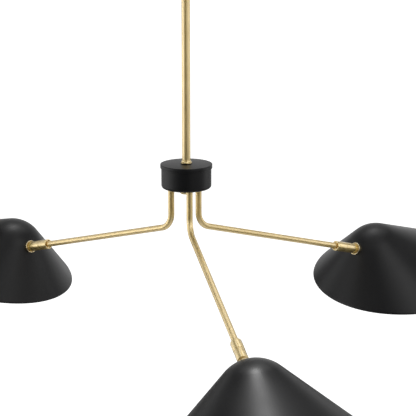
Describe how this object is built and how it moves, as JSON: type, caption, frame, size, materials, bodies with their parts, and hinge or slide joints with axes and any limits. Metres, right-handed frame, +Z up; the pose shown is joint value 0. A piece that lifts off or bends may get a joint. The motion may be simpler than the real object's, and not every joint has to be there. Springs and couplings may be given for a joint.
{
  "type": "chandelier",
  "caption": "Ceiling chandelier: bent swing arms under a round hub on a downrod, each with a ball swivel and an off-centre black shade",
  "frame": {"origin": "centre of the two ceiling screw holes, in the ceiling plane", "axes": "+Z up, along the downrod; +X along the crossbar to the right seen from the front; +Y away from the viewer"},
  "size_m": [1.1025, 1.157, 0.7375],
  "materials": {
    "black_paint": "satin black paint",
    "brass": "satin lacquered",
    "steel": "zinc plated",
    "bush_plastic": "natural nylon",
    "holder_plastic": "moulded black",
    "bulb_metal": "bright",
    "bulb_glass": "opal"
  },
  "bodies": {
    "fixture": {"crossbar": "steel", "crossbar_nipple": "steel", "upper_nut": "steel", "lower_nut": "steel", "canopy": "black_paint", "canopy_collar": "brass", "downrod": "brass", "rod_collar": "brass", "lid_washer": "black_paint", "hub_lid": "black_paint", "hub_cup": "black_paint", "lid_nut": "steel", "tie_nipple": "steel", "finial": "brass", "hub_bush_left": "bush_plastic", "hub_bush_right": "bush_plastic", "hub_bush_front": "bush_plastic"},
    "arm_left": {"arm_tube_left": "brass", "stop_collar_left": "steel", "arm_sleeve_left": "brass"},
    "swivel_left": {"swivel_left": "brass", "swivel_nut_left": "steel"},
    "shade_body_left": {"shade_left": "black_paint", "shade_ring_left": "brass", "wall_saddle_left": "steel", "ball_seat_left": "bush_plastic", "holder_carrier_left": "steel", "lamp_holder_left": "holder_plastic", "bulb_base_left": "bulb_metal", "bulb_glass_left": "bulb_glass"},
    "arm_right": {"arm_tube_right": "brass", "stop_collar_right": "steel", "arm_sleeve_right": "brass"},
    "swivel_right": {"swivel_right": "brass", "swivel_nut_right": "steel"},
    "shade_body_right": {"shade_right": "black_paint", "shade_ring_right": "brass", "wall_saddle_right": "steel", "ball_seat_right": "bush_plastic", "holder_carrier_right": "steel", "lamp_holder_right": "holder_plastic", "bulb_base_right": "bulb_metal", "bulb_glass_right": "bulb_glass"},
    "arm_front": {"arm_tube_front": "brass", "stop_collar_front": "steel", "arm_sleeve_front": "brass"},
    "swivel_front": {"swivel_front": "brass", "swivel_nut_front": "steel"},
    "shade_body_front": {"shade_front": "black_paint", "shade_ring_front": "brass", "wall_saddle_front": "steel", "ball_seat_front": "bush_plastic", "holder_carrier_front": "steel", "lamp_holder_front": "holder_plastic", "bulb_base_front": "bulb_metal", "bulb_glass_front": "bulb_glass"}
  },
  "joints": [
    {"name": "arm_swing_left", "type": "hinge", "parent": "fixture", "child": "arm_left", "pos_m": [-0.02424, 0.00792, -0.4556], "axis": [0, 0, 1], "range_deg": [-6, 53]},
    {"name": "shade_turn_left", "type": "hinge", "parent": "arm_left", "child": "swivel_left", "pos_m": [-0.25773, 0.21816, -0.61], "axis": [-0.7147, 0.6435, -0.274], "range_deg": [-35, 24]},
    {"name": "shade_tilt_left", "type": "hinge", "parent": "swivel_left", "child": "shade_body_left", "pos_m": [-0.27803, 0.23644, -0.61778], "axis": [-0.7518, -0.6527, 0.0938], "range_deg": [-21, 18]},
    {"name": "arm_swing_right", "type": "hinge", "parent": "fixture", "child": "arm_right", "pos_m": [0.01898, 0.01703, -0.4556], "axis": [0, 0, 1], "range_deg": [-25, 34]},
    {"name": "shade_turn_right", "type": "hinge", "parent": "arm_right", "child": "swivel_right", "pos_m": [0.26991, 0.20612, -0.61], "axis": [0.7681, 0.5788, -0.274], "range_deg": [-38, 21]},
    {"name": "shade_tilt_right", "type": "hinge", "parent": "swivel_right", "child": "shade_body_right", "pos_m": [0.29173, 0.22256, -0.61778], "axis": [-0.6359, 0.7595, 0.1372], "range_deg": [-25, 14]},
    {"name": "arm_swing_front", "type": "hinge", "parent": "fixture", "child": "arm_front", "pos_m": [0.00526, -0.02495, -0.4556], "axis": [0, 0, 1], "range_deg": [-31, 28]},
    {"name": "shade_turn_front", "type": "hinge", "parent": "arm_front", "child": "swivel_front", "pos_m": [0.07754, -0.33073, -0.61], "axis": [0.2212, -0.9359, -0.274], "range_deg": [-34, 25]},
    {"name": "shade_tilt_front", "type": "hinge", "parent": "swivel_front", "child": "shade_body_front", "pos_m": [0.08382, -0.35731, -0.61778], "axis": [0.9659, 0.2459, 0.0805], "range_deg": [-38, 1]}
  ]
}
